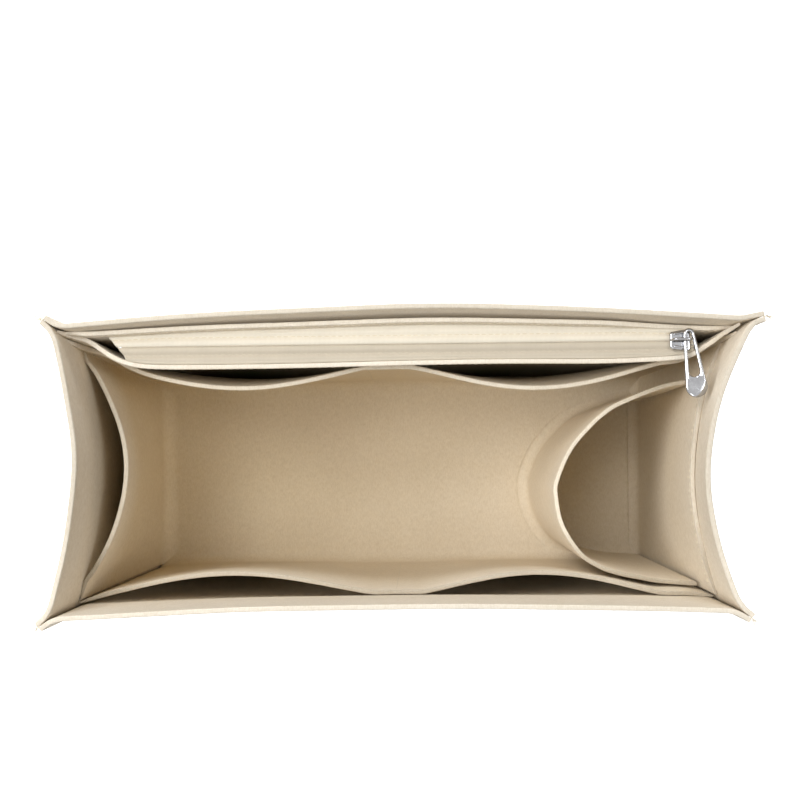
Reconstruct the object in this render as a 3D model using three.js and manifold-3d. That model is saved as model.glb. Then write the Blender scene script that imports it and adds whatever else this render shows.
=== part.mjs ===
import * as THREE from 'three';
import { mergeVertices } from 'three/addons/utils/BufferGeometryUtils.js';
import Module from 'manifold-3d';

const wasm = await Module();
wasm.setup();

// Driving sizes of the insert, between the middles of the felt at its corners
const bodyHeight = 160;
const rimLength = 294;
const rimWidth = 124;
const footNarrowing = 3;
const footLength = rimLength;
const footWidth = rimWidth - footNarrowing;

// Felt thicknesses, and the clearance that neighbouring pieces keep
const wallFelt = 2.2;
const pocketFelt = 2;
const baseFelt = 3;
const clearance = 0.3;

// How far three corners of the rim stand out along the length, beside the even rectangle
const frontLeftReach = 3.5;
const backRightReach = 3.5;
const frontRightReach = -2.5;

// How far each wall bows at its rim, outward being positive
const frontBow = -3.8;
const backBow = 5;
const leftBow = -10;
const rightBow = -17;
const bowPower = 1.7;

// How far the front wall swells out below its pockets' mouths
const frontSwell = 6;
const swellRound = 0.6;

// Seams: the corner seams stand out diagonally, the foot seam lies on the base
const cornerSeam = 5;
const cornerSeamRoot = 0.7;
const cornerBend = 5;
const footSeam = 4;
const footBendHeight = 4;
const footTaper = 14;
const footLiftPower = 0.15;
const baseCornerRadius = 5;

// Heights of the inner panels' top edges, each a little below the rim
const slipDrop = 30;
const flatSlipDrop = 24;
const holderDrop = 42;
const zipDrop = 12.3;
const slipTop = bodyHeight - slipDrop;
const flatSlipTop = bodyHeight - flatSlipDrop;
const holderTop = bodyHeight - holderDrop;
const zipTop = bodyHeight - zipDrop;

// How deep the slip pockets gape at their mouths
const frontLeftGape = 10;
const frontRightGape = 9;
const zipLeftGape = 8.4;
const zipRightGape = 10.4;
const leftGape = 12.3;
const rightGape = 0.6;
const mouthPower = 0.8;

// Where each mouth begins and ends along its wall, and how round it is
const frontMouths = [
  { fromShare: -1.01, toShare: -0.07, depth: frontLeftGape, round: 1.2 },
  { fromShare: 0.08, toShare: 0.83, depth: frontRightGape, round: 1.2 },
];
const zipMouths = [
  { fromShare: -0.87, toShare: -0.1, depth: zipLeftGape, round: 1.2 },
  { fromShare: 0.03, toShare: 0.825, depth: zipRightGape, round: 1.2 },
];
const leftMouths = [{ fromShare: -0.74, toShare: 0.74, depth: leftGape, round: 1 }];
const rightMouths = [{ fromShare: -0.8, toShare: 0.8, depth: rightGape, round: 1 }];

// Where each inner panel starts and ends along its wall
const frontSlipSpanShares = [0.011, 0.989];
const leftSlipSpanShares = [0.084, 0.95];
const rightSlipSpanShares = [0.05, 0.912];
const zipBackSpanShares = [0.012, 0.988];


// Top edge of the bottle holder, in half lengths and half widths of the rim
const holderShares = [
  [0.93, 0.644], [0.87, 0.615], [0.808, 0.57], [0.743, 0.51], [0.678, 0.436], [0.613, 0.306],
  [0.549, 0.126], [0.506, -0.1], [0.501, -0.218], [0.52, -0.446], [0.577, -0.663],
  [0.641, -0.771], [0.705, -0.824], [0.769, -0.856], [0.833, -0.884], [0.93, -0.908],
];
const holderReachShare = 0.93;
const holderEndGap = 0.7;

// Zipper: its straight line along X, its tapes and its two rows of teeth
const zipLineInset = 7.2;
const zipLeftInset = 23.5;
const zipRightInset = 17.4;
const zipLineY = rimWidth / 2 - zipLineInset;
const zipLeftX = zipLeftInset - rimLength / 2;
const zipRightX = rimLength / 2 - zipRightInset;
const tapeThickness = 0.6;
const tapeDrop = 0.7;
const tapeHeight = zipTop - tapeDrop;
const tapeTurnDown = 6;
const tapeProfileShares = [[0, 0], [0.5, 0], [0.86, 0.03], [1, 0.15], [1, 1]];

// Top edge of the zip pocket's front panel: how far before the zipper's line it runs, by the
// zipper's inset at each end, and by half the rim's length between them
const zipMouthDepth = 8.4;
const zipFrontLeftShares = [
  [0.175, -0.267], [0.5, -0.208], [0.894, 0.471], [1.17, 0.818], [1.576, 1.025],
];
const zipFrontMiddleShares = [[-0.6, 1.091], [-0.3, 1.077], [0, 1.003], [0.3, 0.973], [0.6, 1.025]];
const zipFrontRightShares = [
  [2.281, 0.973], [1.614, 0.914], [1.115, 0.789], [0.718, 0.309], [0.456, -0.134],
  [0.237, -0.267],
];
const zipLeanPower = 2.5;

// Teeth and stops of the zipper
const teethReach = 0.6;
const teethRoot = 1.5;
const teethBack = 2.3;
const teethHeight = 1.6;
const toothPitch = 2.6;
const toothLength = 1.4;
const stopLength = 1.4;
const bottomStopLength = 2;

// Slider: two plates joined by a thin post, and the arch-shaped bail on top
const sliderInset = 6.6;
const sliderX = zipRightX - sliderInset;
const sliderLength = 9;
const sliderHeadWidth = 9.6;
const sliderTailWidth = 7.6;
const sliderUnderWidth = 6.6;
const sliderCorner = 1.4;
const topPlate = 1.2;
const bottomPlate = 1;
const platesGap = 0.4;
const postThickness = 0.6;
const postLength = 3;
const bailSpan = 7.2;
const bailWire = 1.3;
const bailOpening = 2.6;
const bailCorner = 1.2;

// Pull: a flat teardrop ring round the bail's right leg, solid at its free end. Its neck
// stands out beyond the leg, and its end hangs towards the compartment
const pullThickness = 1.6;
const pullNeckRadius = 2.5;
const pullNeckReach = 2.5;
const pullEndRadius = 4.8;
const pullEndReach = 20.6;
const pullEyeRadius = 1.2;
const pullEyeReach = 2.2;
const pullHoleRadius = 2.3;
const pullHoleReach = 14;
const pullBevel = 0.3;
const pullRise = 0.4;
const pullLean = THREE.MathUtils.degToRad(8);

// Steps that the curved pieces are made of
const wallColumns = 15;
const wallRows = 7;
const panelColumns = 24;
const panelRows = 7;
const tapeColumns = 22;
const arcSteps = 8;
const searchSteps = 24;

const feltLook = { color: 0xd9c7a6, roughness: 0.95, metalness: 0 };
const tapeLook = { color: 0xe2d3b4, roughness: 0.85, metalness: 0 };
const teethLook = { color: 0xd8c9aa, roughness: 0.5, metalness: 0 };
const nickelLook = { color: 0xc9c9cc, roughness: 0.2, metalness: 1 };

const insert = new THREE.Group();

function addPiece(name, geometry, look) {
  const mesh = new THREE.Mesh(geometry, new THREE.MeshStandardMaterial(look));
  mesh.name = name;
  insert.add(mesh);
  return mesh;
}

const mix = THREE.MathUtils.lerp;
const steps = (count) => Array.from({ length: count }, (_, i) => i / (count - 1));

// Heights, and the insert's half sizes at a height
const wallBottom = baseFelt + clearance;
const riseAt = (z) => (z - wallBottom) / (bodyHeight - wallBottom);
const halfLengthAt = (z) => mix(footLength, rimLength, riseAt(z)) / 2;
const halfWidthAt = (z) => mix(footWidth, rimWidth, riseAt(z)) / 2;

// The four walls: where each starts, which way it runs, and its outward side
const walls = {
  front: { start: [-1, -1], end: [1, -1], out: [0, -1], bow: frontBow, swell: frontSwell },
  right: { start: [1, -1], end: [1, 1], out: [1, 0], bow: rightBow, swell: 0 },
  back: { start: [1, 1], end: [-1, 1], out: [0, 1], bow: backBow, swell: 0 },
  left: { start: [-1, 1], end: [-1, -1], out: [-1, 0], bow: leftBow, swell: 0 },
};

function cornerReach([x, y]) {
  if (y > 0) return x > 0 ? backRightReach : 0;
  return x > 0 ? frontRightReach : frontLeftReach;
}

function cornerAt(signs, z) {
  const halfLength = halfLengthAt(z) + cornerReach(signs) * riseAt(z);
  return new THREE.Vector2(signs[0] * halfLength, signs[1] * halfWidthAt(z));
}

function wallLengthAt(wall, z) {
  return cornerAt(wall.start, z).distanceTo(cornerAt(wall.end, z));
}

// A point on the middle surface of a wall, its share counted from the wall's start
function wallPoint(wall, share, z) {
  const bow = wall.bow * Math.sin(Math.PI * share) * riseAt(z) ** bowPower;
  return cornerAt(wall.start, z)
    .lerp(cornerAt(wall.end, z), share)
    .addScaledVector(new THREE.Vector2(...wall.out), bow);
}

// The side of a path that lies to the right of its direction, as a unit vector
function sideOf(before, after) {
  return new THREE.Vector2(after.y - before.y, before.x - after.x).normalize();
}

function wallOffset(wall, share, z, inward) {
  const step = 1 / wallColumns ** 2;
  const side = sideOf(wallPoint(wall, share - step, z), wallPoint(wall, share + step, z));
  return wallPoint(wall, share, z).addScaledVector(side, -inward);
}

// A felt sheet as a closed solid: rows of points on its middle surface, its foot first
function sheetGeometry(grid, thickness) {
  const rows = grid.length;
  const columns = grid[0].length;
  const positions = [];
  for (const faceSign of [1, -1]) {
    for (let i = 0; i < rows; i += 1) {
      for (let j = 0; j < columns; j += 1) {
        const along = new THREE.Vector3().subVectors(
          grid[i][Math.min(j + 1, columns - 1)], grid[i][Math.max(j - 1, 0)]);
        const up = new THREE.Vector3().subVectors(
          grid[Math.min(i + 1, rows - 1)][j], grid[Math.max(i - 1, 0)][j]);
        const normal = along.cross(up).normalize();
        const point = grid[i][j].clone().addScaledVector(normal, faceSign * thickness / 2);
        positions.push(point.x, point.y, point.z);
      }
    }
  }
  const front = (i, j) => i * columns + j;
  const back = (i, j) => rows * columns + i * columns + j;
  const index = [];
  const addQuad = (a, b, c, d) => index.push(a, b, c, a, c, d);
  for (let i = 0; i < rows - 1; i += 1) {
    for (let j = 0; j < columns - 1; j += 1) {
      addQuad(front(i, j), front(i, j + 1), front(i + 1, j + 1), front(i + 1, j));
      addQuad(back(i, j), back(i + 1, j), back(i + 1, j + 1), back(i, j + 1));
    }
  }
  const top = rows - 1;
  const end = columns - 1;
  for (let j = 0; j < end; j += 1) {
    addQuad(back(0, j), back(0, j + 1), front(0, j + 1), front(0, j));
    addQuad(front(top, j), front(top, j + 1), back(top, j + 1), back(top, j));
  }
  for (let i = 0; i < top; i += 1) {
    addQuad(back(i, 0), front(i, 0), front(i + 1, 0), back(i + 1, 0));
    addQuad(front(i, end), back(i, end), back(i + 1, end), front(i + 1, end));
  }
  const geometry = new THREE.BufferGeometry();
  geometry.setAttribute('position', new THREE.Float32BufferAttribute(positions, 3));
  geometry.setIndex(index);
  geometry.computeVertexNormals();
  return geometry;
}

// Outer walls: each turns out along the corner seams and, at its foot, onto the base
const footRowShares = [[1, 0], [0.4, 0.05], [0.08, 0.4], [0, 1]];

// How far a wall itself stands outside the surface that its inner panels follow
function swellAt(wall, share, z) {
  const climb = THREE.MathUtils.clamp((z - wallBottom) / (slipTop - wallBottom), 0, 1);
  return wall.swell * Math.sin(Math.PI * climb) * Math.sin(Math.PI * share) ** swellRound;
}

function seamPoint(signs, otherSigns, z, reach) {
  const diagonal = new THREE.Vector2(...signs).normalize();
  const along = new THREE.Vector2(...otherSigns).sub(new THREE.Vector2(...signs));
  const side = along.addScaledVector(diagonal, -along.dot(diagonal)).normalize();
  return cornerAt(signs, z)
    .addScaledVector(diagonal, reach)
    .addScaledVector(side, (wallFelt + clearance) / 2);
}

function wallRow(wall, z, seamShare, heightShare) {
  const length = wallLengthAt(wall, z);
  const bendShare = cornerBend / length;
  const row = [cornerSeam, cornerSeamRoot].map((reach) => {
    const point = seamPoint(wall.start, wall.end, z, reach);
    return new THREE.Vector3(point.x, point.y, z);
  });
  for (const step of steps(wallColumns)) {
    const share = mix(bendShare, 1 - bendShare, step);
    const fromCorner = Math.min(share, 1 - share) * length - cornerBend;
    const taper = THREE.MathUtils.smoothstep(fromCorner, 0, footTaper);
    const outward = footSeam * seamShare * taper + swellAt(wall, share, z);
    const point = wallOffset(wall, share, z, -outward);
    const lift = taper ** footLiftPower * (1 - heightShare) * wallFelt / 2;
    row.push(new THREE.Vector3(point.x, point.y, z + lift));
  }
  for (const reach of [cornerSeamRoot, cornerSeam]) {
    const point = seamPoint(wall.end, wall.start, z, reach);
    row.push(new THREE.Vector3(point.x, point.y, z));
  }
  return row;
}

function wallGeometry(wall) {
  const grid = footRowShares.map(([seamShare, heightShare]) => (
    wallRow(wall, wallBottom + heightShare * footBendHeight, seamShare, heightShare)));
  for (const step of steps(wallRows).slice(1)) {
    grid.push(wallRow(wall, mix(wallBottom + footBendHeight, bodyHeight, step), 0, 1));
  }
  return sheetGeometry(grid, wallFelt);
}

addPiece('front_wall', wallGeometry(walls.front), feltLook);
addPiece('back_wall', wallGeometry(walls.back), feltLook);
addPiece('left_end_wall', wallGeometry(walls.left), feltLook);
addPiece('right_end_wall', wallGeometry(walls.right), feltLook);

// Base: a flat felt plate as wide as the foot seams that lie on it
function roundedRectangle(halfLength, halfWidth, radius) {
  const shape = new THREE.Shape();
  const quarter = Math.PI / 2;
  const corners = [[1, 1], [-1, 1], [-1, -1], [1, -1]];
  corners.forEach(([x, y], i) => {
    shape.absarc(x * (halfLength - radius), y * (halfWidth - radius), radius,
      i * quarter, (i + 1) * quarter);
  });
  return shape;
}

const baseShape = roundedRectangle(
  footLength / 2 + footSeam, footWidth / 2 + footSeam, baseCornerRadius);
addPiece('bottom_panel', new THREE.ExtrudeGeometry(baseShape,
  { depth: baseFelt, bevelEnabled: false, curveSegments: arcSteps / 2 }), feltLook);

// Slip pockets: panels that hug a wall and gape at their mouths
function gapeAt(mouths, place, climb) {
  const gapes = mouths.map(({ fromShare, toShare, depth, round }) => {
    const part = THREE.MathUtils.clamp((place - fromShare) / (toShare - fromShare), 0, 1);
    return depth * Math.sin(Math.PI * part) ** round;
  });
  return gapes.reduce((sum, gape) => sum + gape, 0) * climb ** mouthPower;
}

const climbAt = (z, top) => (z - wallBottom) / (top - wallBottom);
const besideWall = wallFelt / 2 + clearance + pocketFelt / 2;

function slipPoint(wall, share, z, top, mouths) {
  const gape = gapeAt(mouths, 2 * share - 1, climbAt(z, top));
  return wallOffset(wall, share, z, besideWall + gape);
}

function panelGeometry(top, pointAt) {
  const grid = steps(panelRows).map((climb) => {
    const z = mix(wallBottom, top, climb);
    return steps(panelColumns).map((step) => {
      const point = pointAt(step, z);
      return new THREE.Vector3(point.x, point.y, z);
    });
  });
  return sheetGeometry(grid, pocketFelt);
}

function slipGeometry(wall, [startShare, endShare], top, mouths) {
  return panelGeometry(top, (step, z) => (
    slipPoint(wall, mix(startShare, endShare, step), z, top, mouths)));
}

addPiece('front_slip_pocket',
  slipGeometry(walls.front, frontSlipSpanShares, slipTop, frontMouths), feltLook);
addPiece('left_slip_pocket',
  slipGeometry(walls.left, leftSlipSpanShares, slipTop, leftMouths), feltLook);
addPiece('right_slip_pocket',
  slipGeometry(walls.right, rightSlipSpanShares, flatSlipTop, rightMouths), feltLook);

// Zip pocket: a back panel on the back wall, and a front panel that leans out to the zipper
addPiece('zip_pocket_back_panel',
  slipGeometry(walls.back, zipBackSpanShares, zipTop, []), feltLook);

const zipFrontPlaces = [
  ...zipFrontLeftShares.map(([inset, depth]) => [inset * zipLeftInset - rimLength / 2, depth]),
  ...zipFrontMiddleShares.map(([place, depth]) => [place * rimLength / 2, depth]),
  ...zipFrontRightShares.map(([inset, depth]) => [rimLength / 2 - inset * zipRightInset, depth]),
];
const zipFrontCurve = new THREE.SplineCurve(zipFrontPlaces.map(([x, depth]) => (
  new THREE.Vector2(x, zipLineY - depth * zipMouthDepth))));
const zipFrontFootY = footWidth / 2 - besideWall - pocketFelt - clearance;

function zipFrontPoint(step, z) {
  const point = zipFrontCurve.getPoint(step);
  point.y = mix(zipFrontFootY, point.y, climbAt(z, zipTop) ** zipLeanPower);
  return point;
}

function zipFrontOffset(step, z, outward) {
  const nudge = 1 / panelColumns ** 2;
  const before = zipFrontPoint(Math.max(step - nudge, 0), z);
  const after = zipFrontPoint(Math.min(step + nudge, 1), z);
  return zipFrontPoint(step, z).addScaledVector(sideOf(before, after), outward);
}

addPiece('zip_pocket_front_panel', panelGeometry(zipTop, zipFrontPoint), feltLook);

addPiece('zip_slip_pocket', panelGeometry(slipTop, (step, z) => {
  const place = zipFrontPoint(step, z).x / (rimLength / 2);
  const gape = gapeAt(zipMouths, place, climbAt(z, slipTop));
  return zipFrontOffset(step, z, pocketFelt + clearance + gape);
}), feltLook);

// Bottle holder: a curved panel whose two ends meet the flat pocket on the right end wall
function halve(low, high, isLow) {
  let [from, to] = [low, high];
  for (let i = 0; i < searchSteps; i += 1) {
    const middle = (from + to) / 2;
    if (isLow(middle)) from = middle;
    else to = middle;
  }
  return (from + to) / 2;
}

function holderLimitX(y, z) {
  const faceAt = (share) => (
    slipPoint(walls.right, share, z, flatSlipTop, rightMouths).x - pocketFelt / 2);
  const share = halve(0, 1, (guess) => wallPoint(walls.right, guess, z).y < y);
  return faceAt(share) - holderEndGap;
}

function holderPath(z) {
  const climb = climbAt(z, holderTop);
  const points = holderShares.map(([xShare, yShare], i) => {
    const y = yShare * mix(footWidth, rimWidth, climb) / 2;
    const limit = holderLimitX(y, z);
    const isEnd = i === 0 || i === holderShares.length - 1;
    const reach = (limit - xShare * rimLength / 2) * mix(holderReachShare, 1, climb);
    return new THREE.Vector2(isEnd ? limit : limit - reach, y);
  });
  return new THREE.SplineCurve(points);
}

addPiece('bottle_holder',
  panelGeometry(holderTop, (step, z) => holderPath(z).getPointAt(step)), feltLook);

// Zipper tapes: flat beside the teeth, then turned down along the zip pocket's panels
const besidePanel = pocketFelt / 2 + clearance + tapeThickness / 2;

function frontTapeY(x, z) {
  const step = halve(0, 1, (guess) => zipFrontOffset(guess, z, -besidePanel).x < x);
  return zipFrontOffset(step, z, -besidePanel).y;
}

function backTapeY(x, z) {
  const share = halve(0, 1, (guess) => wallPoint(walls.back, guess, z).x > x);
  return wallPoint(walls.back, share, z).y - besideWall - besidePanel;
}

function tapeGeometry(direction, panelY) {
  const edgeY = zipLineY + direction * (teethBack + clearance);
  const grid = tapeProfileShares.map(([acrossShare, dropShare]) => {
    const z = tapeHeight - dropShare * tapeTurnDown;
    return steps(tapeColumns).map((step) => {
      const x = mix(zipLeftX, zipRightX, step);
      return new THREE.Vector3(x, mix(edgeY, panelY(x, z), acrossShare), z);
    });
  });
  return sheetGeometry(grid, tapeThickness);
}

addPiece('zipper_tape_front', tapeGeometry(-1, frontTapeY), tapeLook);
addPiece('zipper_tape_back', tapeGeometry(1, backTapeY), tapeLook);

// Teeth: two facing rows, the back one half a pitch along
const teethBottom = tapeHeight - teethHeight / 2;
const teethStartX = zipLeftX + bottomStopLength + 2 * clearance;
const teethEndX = zipRightX - stopLength - 2 * clearance;

function teethGeometry(direction, firstShare) {
  const shape = new THREE.Shape();
  shape.moveTo(teethEndX, direction * teethBack);
  shape.lineTo(teethStartX, direction * teethBack);
  shape.lineTo(teethStartX, direction * teethRoot);
  const rootSpace = (toothPitch - toothLength) / 2;
  for (let x = teethStartX + toothPitch * firstShare; x + toothPitch < teethEndX; x += toothPitch) {
    shape.lineTo(x + rootSpace / 2, direction * teethRoot);
    shape.lineTo(x + rootSpace, direction * teethReach);
    shape.lineTo(x + rootSpace + toothLength, direction * teethReach);
    shape.lineTo(x + toothPitch - rootSpace / 2, direction * teethRoot);
  }
  shape.lineTo(teethEndX, direction * teethRoot);
  return new THREE.ExtrudeGeometry(shape, { depth: teethHeight, bevelEnabled: false });
}

addPiece('zipper_teeth_front', teethGeometry(-1, 0), teethLook)
  .position.set(0, zipLineY, teethBottom);
addPiece('zipper_teeth_back', teethGeometry(1, 1 / 2), teethLook)
  .position.set(0, zipLineY, teethBottom);

// Stops at both ends of the teeth
const stopWidth = teethBack - teethReach;
const topStopX = zipRightX - clearance - stopLength / 2;
for (const [name, direction] of [['top_stop_front', -1], ['top_stop_back', 1]]) {
  addPiece(name, new THREE.BoxGeometry(stopLength, stopWidth, teethHeight), nickelLook)
    .position.set(topStopX, zipLineY + direction * (teethBack - stopWidth / 2), tapeHeight);
}
addPiece('bottom_stop',
  new THREE.BoxGeometry(bottomStopLength, 2 * teethBack, teethHeight), nickelLook)
  .position.set(zipLeftX + clearance + bottomStopLength / 2, zipLineY, tapeHeight);

// Slider body: the plates and the post are cut and joined into one solid
function toSolid(geometry) {
  const bare = geometry.clone();
  for (const name of ['normal', 'uv']) bare.deleteAttribute(name);
  const merged = mergeVertices(bare);
  return new wasm.Manifold(new wasm.Mesh({
    numProp: 3,
    vertProperties: new Float32Array(merged.attributes.position.array),
    triVerts: new Uint32Array(merged.index.array),
  }));
}

function fromSolid(solid) {
  const { vertProperties, triVerts } = solid.getMesh();
  const geometry = new THREE.BufferGeometry();
  geometry.setAttribute('position', new THREE.Float32BufferAttribute(vertProperties, 3));
  geometry.setIndex(Array.from(triVerts));
  geometry.computeVertexNormals();
  return geometry;
}

function plateGeometry(headWidth, tailWidth, thickness, z) {
  const shape = new THREE.Shape();
  const half = sliderLength / 2;
  const outline = [
    [half, -headWidth / 2], [half, headWidth / 2], [-half, tailWidth / 2], [-half, -tailWidth / 2],
  ];
  outline.forEach(([x, y], i) => {
    const towardX = Math.sign(x) * sliderCorner;
    const towardY = Math.sign(y) * sliderCorner;
    const ends = i % 2 === 0 ? [[x - towardX, y], [x, y - towardY]] : [[x, y - towardY], [x - towardX, y]];
    const [enter, leave] = ends;
    if (i === 0) shape.moveTo(...enter);
    else shape.lineTo(...enter);
    shape.quadraticCurveTo(x, y, ...leave);
  });
  shape.closePath();
  const geometry = new THREE.ExtrudeGeometry(shape,
    { depth: thickness, bevelEnabled: false, curveSegments: arcSteps / 2 });
  return geometry.translate(0, 0, z);
}

const topPlateBottom = tapeHeight + teethHeight / 2 + platesGap;
const bottomPlateTop = tapeHeight - teethHeight / 2 - platesGap;
const topPlateTop = topPlateBottom + topPlate;
const postHeight = topPlateTop - bottomPlateTop + bottomPlate;
const postGeometry = new THREE.BoxGeometry(postLength, postThickness, postHeight);
postGeometry.translate(
  sliderLength / 2 - postLength / 2 - sliderCorner / 2, 0, topPlateTop - postHeight / 2);

const sliderSolid = toSolid(plateGeometry(sliderHeadWidth, sliderTailWidth, topPlate, topPlateBottom))
  .add(toSolid(plateGeometry(
    sliderUnderWidth, sliderUnderWidth, bottomPlate, bottomPlateTop - bottomPlate)))
  .add(toSolid(postGeometry));
addPiece('slider_body', fromSolid(sliderSolid), nickelLook).position.set(sliderX, zipLineY, 0);

// Bail: an arch that stands on the slider's top plate
function archOutline(halfSpan, height, radius, target) {
  target.moveTo(halfSpan, 0);
  target.lineTo(halfSpan, height - radius);
  target.absarc(halfSpan - radius, height - radius, radius, 0, Math.PI / 2);
  target.absarc(radius - halfSpan, height - radius, radius, Math.PI / 2, Math.PI);
  target.lineTo(-halfSpan, 0);
  return target;
}

function bailGeometry() {
  const outer = archOutline(
    (bailSpan + bailWire) / 2, bailOpening + bailWire, bailCorner, new THREE.Shape());
  const innerHalf = (bailSpan - bailWire) / 2;
  const innerCorner = bailCorner / 2;
  outer.lineTo(-innerHalf, 0);
  outer.lineTo(-innerHalf, bailOpening - innerCorner);
  outer.absarc(innerCorner - innerHalf, bailOpening - innerCorner, innerCorner,
    Math.PI, Math.PI / 2, true);
  outer.absarc(innerHalf - innerCorner, bailOpening - innerCorner, innerCorner,
    Math.PI / 2, 0, true);
  outer.lineTo(innerHalf, 0);
  const geometry = new THREE.ExtrudeGeometry(outer,
    { depth: bailWire, bevelEnabled: false, curveSegments: arcSteps / 2 });
  return geometry.translate(0, 0, -bailWire / 2).rotateX(Math.PI / 2);
}

addPiece('slider_bail', bailGeometry(), nickelLook).position.set(sliderX, zipLineY, topPlateTop);

// Pull: outlines made of two circles and their common tangents
function teardrop(neckRadius, neckReach, endRadius, endReach, target) {
  const tangent = Math.asin((endRadius - neckRadius) / (neckReach + endReach));
  target.absarc(0, neckReach, neckRadius, tangent, Math.PI - tangent);
  target.absarc(0, -endReach, endRadius, Math.PI - tangent, 2 * Math.PI + tangent);
  return target;
}

function pullGeometry() {
  const shape = teardrop(
    pullNeckRadius, pullNeckReach, pullEndRadius, pullEndReach, new THREE.Shape());
  shape.holes.push(teardrop(
    pullEyeRadius, pullEyeReach, pullHoleRadius, pullHoleReach, new THREE.Path()));
  const geometry = new THREE.ExtrudeGeometry(shape, {
    depth: pullThickness - 2 * pullBevel,
    bevelThickness: pullBevel,
    bevelSize: pullBevel,
    bevelOffset: -pullBevel,
    bevelSegments: 1,
    curveSegments: arcSteps,
  });
  return geometry.translate(0, 0, pullBevel);
}

const pull = addPiece('zipper_pull', pullGeometry(), nickelLook);
pull.position.set(sliderX + bailSpan / 2, zipLineY, topPlateTop + pullRise);
pull.rotation.z = pullLean;

// The origin is the middle of the insert's footprint, on the ground
insert.updateMatrixWorld(true);
const extent = new THREE.Box3().setFromObject(insert, true);
const middle = extent.getCenter(new THREE.Vector3());
insert.position.set(-middle.x, -middle.y, -extent.min.z);
insert.updateMatrixWorld(true);

const model = new THREE.Group();
model.add(insert);

export default model;
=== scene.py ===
import math

import bpy
import numpy as np
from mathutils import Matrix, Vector, noise


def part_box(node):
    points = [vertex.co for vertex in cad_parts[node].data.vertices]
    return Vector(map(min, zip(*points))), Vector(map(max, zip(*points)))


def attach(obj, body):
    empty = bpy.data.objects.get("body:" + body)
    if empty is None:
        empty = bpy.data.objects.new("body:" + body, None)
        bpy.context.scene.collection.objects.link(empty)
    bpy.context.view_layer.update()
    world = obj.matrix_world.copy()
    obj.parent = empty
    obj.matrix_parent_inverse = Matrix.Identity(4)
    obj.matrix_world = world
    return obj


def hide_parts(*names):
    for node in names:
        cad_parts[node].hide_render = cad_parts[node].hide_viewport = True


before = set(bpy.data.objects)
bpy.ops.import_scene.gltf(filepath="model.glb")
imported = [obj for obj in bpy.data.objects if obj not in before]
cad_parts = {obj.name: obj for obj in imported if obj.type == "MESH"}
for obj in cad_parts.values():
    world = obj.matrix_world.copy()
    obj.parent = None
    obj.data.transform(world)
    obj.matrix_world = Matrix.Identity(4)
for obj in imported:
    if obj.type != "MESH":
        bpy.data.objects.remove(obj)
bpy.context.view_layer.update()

# Units: the sizes below are in millimetres, and Blender's are in metres
MM = 0.001

# Driving sizes of the insert, between the middles of the felt at its corners
BODY_HEIGHT = 160
RIM_LENGTH = 294
RIM_WIDTH = 124
FOOT_LENGTH = RIM_LENGTH
FOOT_WIDTH = RIM_WIDTH - 3

# Felt thicknesses, and the clearance that neighbouring pieces keep
WALL_FELT = 2.2
POCKET_FELT = 2
BASE_FELT = 3
CLEARANCE = 0.3
WALL_BOTTOM = BASE_FELT + CLEARANCE
BESIDE_WALL = WALL_FELT / 2 + CLEARANCE + POCKET_FELT / 2

# How far each wall bows at its rim, and how much the felt waves on top of that
BOW_POWER = 1.7
WAVE = 0.3
WAVE_TURNS = (9, 17)
WAVE_SLANT = 0.012
SECOND_WAVE = 0.6
WALL_KEYS = ("start", "end", "out", "bow", "phase", "swell")
WALLS = {name: dict(zip(WALL_KEYS, values)) for name, *values in (
    ("front", (-1, -1), (1, -1), (0, -1), -3.8, 0.4, 6),
    ("right", (1, -1), (1, 1), (1, 0), -17, 1.9, 0),
    ("back", (1, 1), (-1, 1), (0, 1), 5, 3.1, 0),
    ("left", (-1, 1), (-1, -1), (-1, 0), -10, 5.0, 0),
)}
SWELL_ROUND = 0.6

# How far the rim's corners stand out along the length, beside the even rectangle
CORNER_REACH = {(-1, -1): 3.5, (1, 1): 3.5, (1, -1): -2.5, (-1, 1): 0}

# Where the felt of each corner's seam points
CORNER_WAY = {
    (-1, -1): (-0.75, -0.66), (1, 1): (0.98, 0.2), (1, -1): (0.8, -0.6), (-1, 1): (-0.75, 0.66),
}

# How far the back wall's rim stands off the zip pocket at its middle, and how much higher and
# nearer the wall the pocket's back panel ends there
RIM_STAND_OFF = 2.0
RIM_STAND_OFF_POWER = 3
ZIP_BACK_CROWN = 4.5
ZIP_BACK_HUG = 0.45
TOP_POWER = 4
# Where the crown starts beside the panel's left end, and over what share of it it grows
CROWN_START = 0.09
CROWN_REACH = 0.12

# Seams of the outer walls
CORNER_SEAM = 5
CORNER_SEAM_ROOT = 0.7
CORNER_BEND = 5
FOOT_SEAM = 4
FOOT_BEND_HEIGHT = 4
FOOT_TAPER = 14
FOOT_LIFT_POWER = 0.15
FOOT_SHARES = ((1, 0), (0.4, 0.05), (0.08, 0.4), (0, 1))
FOOT_ROWS = 0.06
BASE_CORNER_RADIUS = 5

# Heights of the inner panels' top edges
SLIP_TOP = BODY_HEIGHT - 30
FLAT_SLIP_TOP = BODY_HEIGHT - 24
HOLDER_TOP = BODY_HEIGHT - 42
ZIP_TOP = BODY_HEIGHT - 12.3

# Mouths of the slip pockets: from and to along the wall as shares, depth, and roundness
MOUTH_POWER = 0.8
FRONT_MOUTHS = ((-1.01, -0.07, 10, 1.2), (0.08, 0.83, 9, 1.2))
ZIP_MOUTHS = ((-0.87, -0.1, 8.4, 1.2), (0.03, 0.825, 10.4, 1.2))
LEFT_MOUTHS = ((-0.82, 0.8, 12.8, 0.85),)
RIGHT_MOUTHS = ((-0.8, 0.8, 0.6, 1),)

# Where each inner panel starts and ends along its wall, as shares
FRONT_SLIP_SPAN = (0.006, 0.994)
LEFT_SLIP_SPAN = (0.04, 0.972)
RIGHT_SLIP_SPAN = (0.03, 0.955)
ZIP_BACK_SPAN = (0.008, 0.992)

# How much nearer the wall a panel's sewn ends lie, and over what length
END_HUG = 0.9
END_HUG_REACH = 7

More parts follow.
